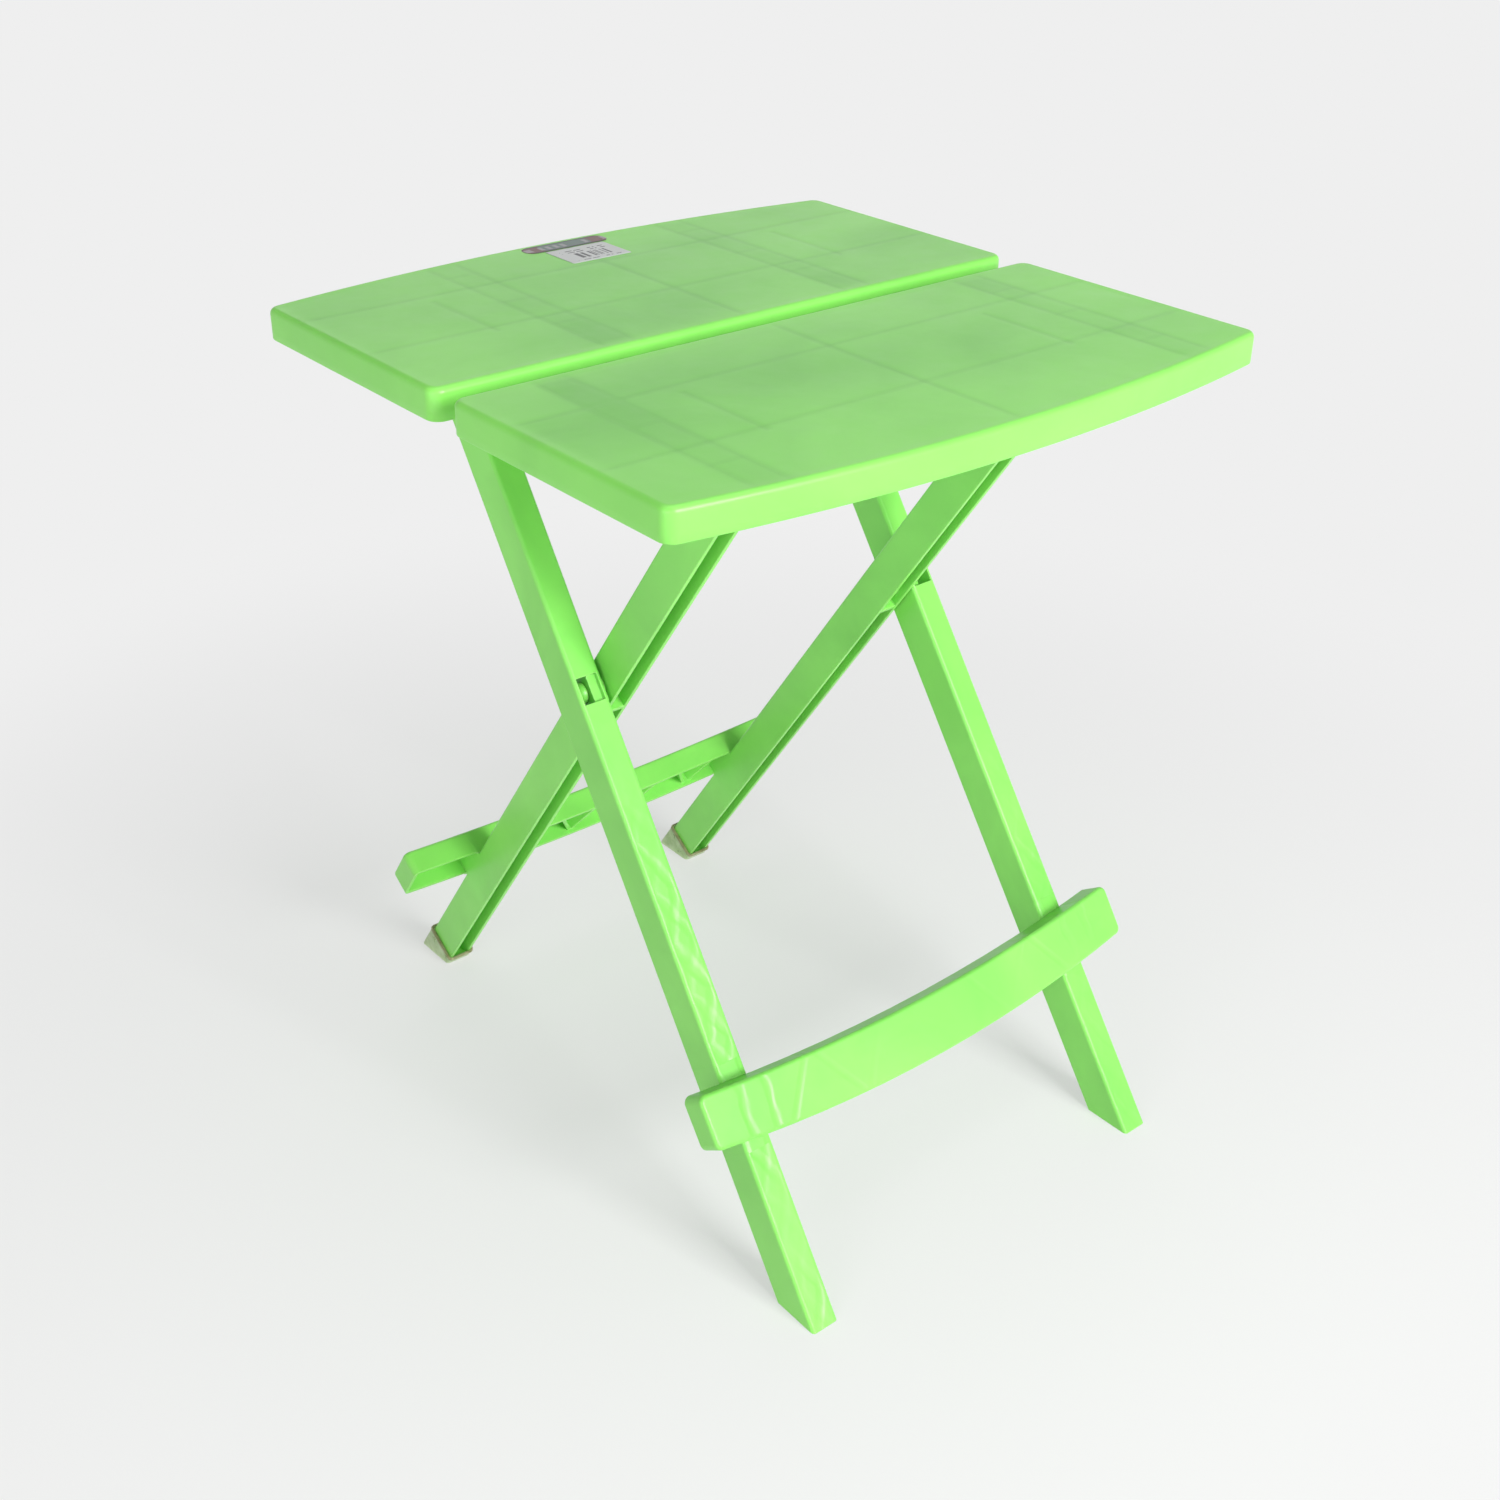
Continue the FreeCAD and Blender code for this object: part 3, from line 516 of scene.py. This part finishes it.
def cloudy_vinyl(name, murky, clear, transmission):
    """Soft translucent vinyl, hazy in patches between a murky and a clear colour."""
    material = bpy.data.materials.new(name)
    material.use_nodes = True
    tree = material.node_tree
    shader = tree.nodes["Principled BSDF"]
    socket(shader, Transmission_Weight=transmission, IOR=1.38, Subsurface_Weight=0.25,
           Subsurface_Scale=0.003, Subsurface_Radius=(1.0, 1.0, 0.6), Coat_Weight=0.1)
    place = tree.nodes.new("ShaderNodeTexCoord")
    haze = tree.nodes.new("ShaderNodeTexNoise")
    socket(haze, Scale=140.0, Detail=4.0, Roughness=0.6)
    tree.links.new(place.outputs["Object"], haze.inputs["Vector"])
    ramp = tree.nodes.new("ShaderNodeValToRGB")
    ramp.color_ramp.elements[0].position = 0.35
    ramp.color_ramp.elements[0].color = murky
    ramp.color_ramp.elements[1].position = 0.68
    ramp.color_ramp.elements[1].color = clear
    tree.links.new(haze.outputs["Fac"], ramp.inputs["Fac"])
    tree.links.new(ramp.outputs["Color"], shader.inputs["Base Color"])
    gloss = tree.nodes.new("ShaderNodeMapRange")
    socket(gloss, To_Min=0.18, To_Max=0.45)
    tree.links.new(haze.outputs["Fac"], gloss.inputs["Value"])
    tree.links.new(gloss.outputs["Result"], shader.inputs["Roughness"])
    scuff = tree.nodes.new("ShaderNodeBump")
    socket(scuff, Strength=0.3, Distance=0.0004)
    tree.links.new(haze.outputs["Fac"], scuff.inputs["Height"])
    tree.links.new(scuff.outputs["Normal"], shader.inputs["Normal"])
    return material


vinyl_wall = cloudy_vinyl("vinyl_wall", (0.42, 0.60, 0.26, 1), (0.66, 0.80, 0.50, 1), 0.30)
vinyl_bead = cloudy_vinyl("vinyl_bead", (0.30, 0.30, 0.13, 1), (0.52, 0.50, 0.30, 1), 0.45)

CAP_RIM, LEG_HALF_X, LEG_HALF_Y, CAP_SKIN = -0.3562, 0.00825, 0.01275, 0.0015
CAP_ROUND, LEAST_ROUND, CAP_RIPPLE = 0.0026, 0.00001, 0.045
LEG_OUTER_X, LEG_SPREAD, HEEL_Y = 0.1155, -0.0041, 0.2298
BEAD_FIRST, BEAD_LAST = 6, 11


def foot_cup(name, side):
    """A soft cup round a leaned foot: rings of a rounded rectangle, from its level sole to its rim.

    Each ring has an outward offset and a height, taken up from the level sole or down from the
    square rim, so the wall is tall at the heel and short at the toe. The rim carries a round bead.
    """
    turn = np.linspace(0, 2 * np.pi, 65)[:-1]
    corner = np.stack([np.sign(np.round(np.cos(turn), 9)), np.sign(np.round(np.sin(turn), 9))], -1)
    rings = [(-0.00975, 0.0, 0), (-0.0012, 0.0, 0), (-0.0004, 0.0003, 0), (0.0, 0.0011, 0),
             (0.0, 0.0035, 0), (0.0001, -0.0034, 1), (0.0001, -0.0026, 1), (0.0005, -0.0022, 1),
             (0.0007, -0.0015, 1), (0.0007, -0.0008, 1), (0.0004, -0.0002, 1), (-0.0003, 0.0, 1),
             (-0.0010, -0.0001, 1), (-0.0014, -0.0006, 1), (-0.00145, 0.0026, 0), (-0.00975, 0.0026, 0)]
    rows = []
    for outward, rise, from_rim in rings:
        half_x = LEG_HALF_X + CAP_SKIN + outward
        half_y = LEG_HALF_Y + CAP_SKIN + outward
        bend = max(CAP_ROUND + outward, LEAST_ROUND)
        x = corner[:, 0] * (half_x - bend) + bend * np.cos(turn)
        y = corner[:, 1] * (half_y - bend) + bend * np.sin(turn)
        sole = (y * np.sin(LEG_LEAN) - SCISSOR_HEIGHT) / np.cos(LEG_LEAN)
        height = CAP_RIM + rise if from_rim else sole + rise
        height = np.maximum(height, sole)
        x = x + LEG_OUTER_X + LEG_SPREAD * height - LEG_HALF_X
        x = x + CAP_RIPPLE * bend * np.sin(9 * turn + 800 * height)
        back = y * np.cos(LEG_LEAN) + height * np.sin(LEG_LEAN)
        lift = SCISSOR_HEIGHT - y * np.sin(LEG_LEAN) + height * np.cos(LEG_LEAN)
        rows.append(np.stack([side * x, np.minimum(-back, HEEL_Y), np.maximum(lift, 0)], -1))
    faces = sheet_quads(len(rows), len(turn), True)
    cup = mesh_piece(name, np.concatenate(rows), faces if side < 0 else faces[:, ::-1], vinyl_wall)
    cup.data.materials.append(vinyl_bead)
    ring = np.arange(len(faces)) // len(turn)
    on_bead = (ring >= BEAD_FIRST) & (ring <= BEAD_LAST)
    cup.data.polygons.foreach_set("material_index", on_bead.astype(np.int32))
    weld(cup)
    return cup


for side, end in ((-1, "left"), (1, "right")):
    cup = foot_cup("vinyl_foot_cap_" + end, side)
    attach(cup, "inner_frame")
    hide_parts("foot_cap_" + end)

# ---------------------------------------------------------------- labels
# A grey-white price label lies on the rear leaf, and a strip of film lies just behind it, near the
# leaf's bowed back edge. Both carry only plain bars and blocks.

FILM_LIFT, FILM_THICKNESS, FILM_FOLLOW = 0.00006, 0.0001, 0.6
FILM_COLUMNS, FILM_ROWS = 61, 31


def stuck_film(name, x0, x1, y0, y1, end_round):
    """A thin stuck sheet: across and along it keep a plan of x0 to x1 by y0 to y1, its ends rounded.

    It follows the sunken skin below, a film's thickness above it.
    """
    u, v = np.meshgrid(np.linspace(0, 1, FILM_COLUMNS), np.linspace(0, 1, FILM_ROWS))
    y = y0 + (y1 - y0) * v
    over = np.clip(np.abs(y - (y0 + y1) / 2) - (y1 - y0) / 2 + end_round, 0, end_round)
    tuck = end_round - np.sqrt(np.maximum(end_round ** 2 - over ** 2, 0))
    x = x0 + tuck + (x1 - x0 - 2 * tuck) * u
    depth = skin_marks(x, y, REAR_RIBS, 3)[0]
    z = TOP - depth * FILM_FOLLOW + FILM_LIFT
    top = np.stack([x, y, z], -1).reshape(-1, 3)
    faces = sheet_quads(FILM_ROWS, FILM_COLUMNS, False)
    piece = mesh_piece(name, top, faces, printed_film(name + "_film"))
    plan = piece.data.uv_layers.new(name="plan")
    corners = np.array([loop.vertex_index for loop in piece.data.loops])
    plan.data.foreach_set("uv", np.stack([u.ravel(), v.ravel()], -1)[corners].ravel().astype(np.float32))
    thickness = piece.modifiers.new("thickness", "SOLIDIFY")
    thickness.thickness = FILM_THICKNESS
    thickness.offset = -1
    return piece


def band(tree, value, low, high):
    """1 where a value lies between low and high, otherwise 0."""
    above = calc(tree, "GREATER_THAN", value, low)
    return calc(tree, "MULTIPLY", above, calc(tree, "LESS_THAN", value, high))


def random_steps(tree, value, count, seed):
    """A value from 0 to 1 that changes at random at each of count equal steps."""
    noise = tree.nodes.new("ShaderNodeTexWhiteNoise")
    noise.noise_dimensions = "1D"
    step = calc(tree, "FLOOR", calc(tree, "MULTIPLY", value, float(count)))
    tree.links.new(calc(tree, "ADD", step, seed), noise.inputs["W"])
    return noise.outputs["Value"]


def tinted(tree, factor, first, second):
    """A colour mixed from two colours or sockets by a factor socket."""
    mix = tree.nodes.new("ShaderNodeMix")
    mix.data_type = "RGBA"
    tree.links.new(factor, mix.inputs["Factor"])
    for name, colour in (("A", first), ("B", second)):
        if hasattr(colour, "links"):
            tree.links.new(colour, mix.inputs[name])
        else:
            mix.inputs[name].default_value = colour
    return mix.outputs["Result"]


def printed_film(name):
    """Paper or film with a plain pattern: upright bars and dashes, or pale blocks on two tones."""
    material = bpy.data.materials.new(name)
    material.use_nodes = True
    tree = material.node_tree
    plan = tree.nodes.new("ShaderNodeUVMap")
    plan.uv_map = "plan"
    split = tree.nodes.new("ShaderNodeSeparateXYZ")
    tree.links.new(plan.outputs["UV"], split.inputs[0])
    u, v = split.outputs["X"], split.outputs["Y"]
    fibre = tree.nodes.new("ShaderNodeTexNoise")
    socket(fibre, Scale=60.0, Detail=4.0)
    tree.links.new(plan.outputs["UV"], fibre.inputs["Vector"])
    if name.startswith("printed_price"):
        ground = tinted(tree, fibre.outputs["Fac"], (0.52, 0.54, 0.53, 1), (0.65, 0.67, 0.66, 1))
        bars = calc(tree, "GREATER_THAN", random_steps(tree, u, 58, 13.0), 0.45)
        bar_box = calc(tree, "MULTIPLY", band(tree, u, 0.26, 0.80), band(tree, v, 0.24, 0.58))
        bars = calc(tree, "MULTIPLY", bars, bar_box)
        dashes = calc(tree, "GREATER_THAN", random_steps(tree, u, 34, 21.0), 0.35)
        rows = calc(tree, "ADD", band(tree, v, 0.66, 0.70), band(tree, v, 0.77, 0.81))
        rows = calc(tree, "ADD", rows, band(tree, v, 0.10, 0.13))
        dashes = calc(tree, "MULTIPLY", dashes, calc(tree, "MULTIPLY", rows, band(tree, u, 0.14, 0.88)))
        ink = calc(tree, "MULTIPLY", calc(tree, "ADD", bars, dashes), 0.92)
        colour = tinted(tree, ink, ground, (0.05, 0.055, 0.065, 1))
    else:
        off_centre = calc(tree, "ABSOLUTE", calc(tree, "SUBTRACT", u, 0.5))
        ends = calc(tree, "GREATER_THAN", off_centre, 0.30)
        ground = tinted(tree, ends, (0.13, 0.19, 0.17, 1), (0.17, 0.085, 0.085, 1))
        blocks = calc(tree, "GREATER_THAN", random_steps(tree, u, 22, 9.0), 0.5)
        blocks = calc(tree, "MULTIPLY", blocks, band(tree, v, 0.25, 0.70))
        colour = tinted(tree, calc(tree, "MULTIPLY", blocks, 0.7), ground, (0.42, 0.38, 0.42, 1))
        rim = calc(tree, "ADD", calc(tree, "LESS_THAN", v, 0.14), calc(tree, "GREATER_THAN", v, 0.88))
        colour = tinted(tree, calc(tree, "MULTIPLY", rim, 0.8), colour, (0.05, 0.035, 0.045, 1))
    shader = tree.nodes["Principled BSDF"]
    tree.links.new(colour, shader.inputs["Base Color"])
    gloss = tree.nodes.new("ShaderNodeMapRange")
    socket(gloss, To_Min=0.32, To_Max=0.5)
    tree.links.new(fibre.outputs["Fac"], gloss.inputs["Value"])
    tree.links.new(gloss.outputs["Result"], shader.inputs["Roughness"])
    return material


price = stuck_film("printed_price_label", -0.018, 0.025, 0.151, 0.182, 0.0005)
maker = stuck_film("printed_maker_sticker", -0.028, 0.032, 0.1832, 0.1968, 0.0060)
for film, node, slot in ((price, "price_label", "label_paper"), (maker, "maker_sticker", "sticker_film")):
    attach(film, "rear_leaf")
    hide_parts(node)

# ---------------------------------------------------------------- floor, lights and camera
# A pale seamless studio floor, a large soft light in front, and weaker ones at the left, behind
# and above.

FLOOR_HALF = 40
floor_mesh = bpy.data.meshes.new("studio_floor")
floor_corners = [(x * FLOOR_HALF, y * FLOOR_HALF, 0) for x, y in ((-1, -1), (1, -1), (1, 1), (-1, 1))]
floor_mesh.from_pydata(floor_corners, [], [(0, 1, 2, 3)])
floor = bpy.data.objects.new("studio_floor", floor_mesh)
bpy.context.scene.collection.objects.link(floor)
paper = bpy.data.materials.new("studio_paper")
paper.use_nodes = True
paper_tree = paper.node_tree
paper_shader = paper_tree.nodes["Principled BSDF"]
socket(paper_shader, Roughness=1.0, Specular_IOR_Level=0.0, Emission_Color=(1, 1, 1, 1))
paper_place = paper_tree.nodes.new("ShaderNodeTexCoord")
paper_reach = paper_tree.nodes.new("ShaderNodeVectorMath")
paper_reach.operation = "LENGTH"
paper_tree.links.new(paper_place.outputs["Object"], paper_reach.inputs[0])
for strength, near, far in (("Base Color", 0.36, 0.0), ("Emission Strength", 0.505, 0.863)):
    fall = paper_tree.nodes.new("ShaderNodeMapRange")
    fall.interpolation_type = "SMOOTHSTEP"
    socket(fall, From_Min=0.3, From_Max=0.95, To_Min=near, To_Max=far)
    paper_tree.links.new(paper_reach.outputs["Value"], fall.inputs["Value"])
    paper_tree.links.new(fall.outputs["Result"], paper_shader.inputs[strength])
floor_mesh.materials.append(paper)

world = bpy.data.worlds.new("studio_air")
bpy.context.scene.world = world
world.use_nodes = True
air = world.node_tree
socket(air.nodes["Background"], Color=(1.0, 1.0, 1.0, 1))
air_place = air.nodes.new("ShaderNodeTexCoord")
air_split = air.nodes.new("ShaderNodeSeparateXYZ")
air.links.new(air_place.outputs["Generated"], air_split.inputs[0])
air_rise = air.nodes.new("ShaderNodeMapRange")
air_rise.interpolation_type = "SMOOTHSTEP"
socket(air_rise, From_Min=0.06, From_Max=0.45, To_Min=0.863, To_Max=0.22)
air.links.new(air_split.outputs["Z"], air_rise.inputs["Value"])
air.links.new(air_rise.outputs["Result"], air.nodes["Background"].inputs["Strength"])


def soft_light(name, place, size, power):
    """A square soft light at place, facing the middle of the table."""
    data = bpy.data.lights.new(name, "AREA")
    data.size = size
    data.energy = power
    lamp = bpy.data.objects.new(name, data)
    bpy.context.scene.collection.objects.link(lamp)
    lamp.location = place
    lamp.rotation_euler = (Vector((0, 0, 0.25)) - lamp.location).to_track_quat("-Z", "Y").to_euler()


soft_light("front_light", Vector((0.1, -2.25, 1.25)), 1.0, 66)
soft_light("left_light", Vector((-1.3, -0.55, 0.60)), 0.8, 4.6)
soft_light("back_light", Vector((1.6, 2.0, 1.5)), 2.2, 7)
soft_light("top_light", Vector((0.05, 0.0, 2.4)), 1.4, 8)


CAMERA_AZIMUTH, CAMERA_ELEVATION, CAMERA_ROLL = np.radians([39.92, 30.0, 0.74])
CAMERA_DISTANCE = 1.1716
CAMERA_TARGET = Vector((-0.0039, -0.0025, 0.2274))
CAMERA_LENS = 45.164

back = Vector((-np.sin(CAMERA_AZIMUTH) * np.cos(CAMERA_ELEVATION),
               -np.cos(CAMERA_AZIMUTH) * np.cos(CAMERA_ELEVATION), np.sin(CAMERA_ELEVATION)))
level = (-back).cross(Vector((0, 0, 1))).normalized()
upright = level.cross(-back)
right = level * np.cos(CAMERA_ROLL) + upright * np.sin(CAMERA_ROLL)
up = upright * np.cos(CAMERA_ROLL) - level * np.sin(CAMERA_ROLL)
camera_data = bpy.data.cameras.new("camera")
camera_data.lens = CAMERA_LENS
camera = bpy.data.objects.new("camera", camera_data)
bpy.context.scene.collection.objects.link(camera)
camera.matrix_world = Matrix.Translation(CAMERA_TARGET + back * CAMERA_DISTANCE) @ Matrix(
    (right, up, back)).transposed().to_4x4()
bpy.context.scene.camera = camera
bpy.context.scene.view_settings.view_transform = "Standard"
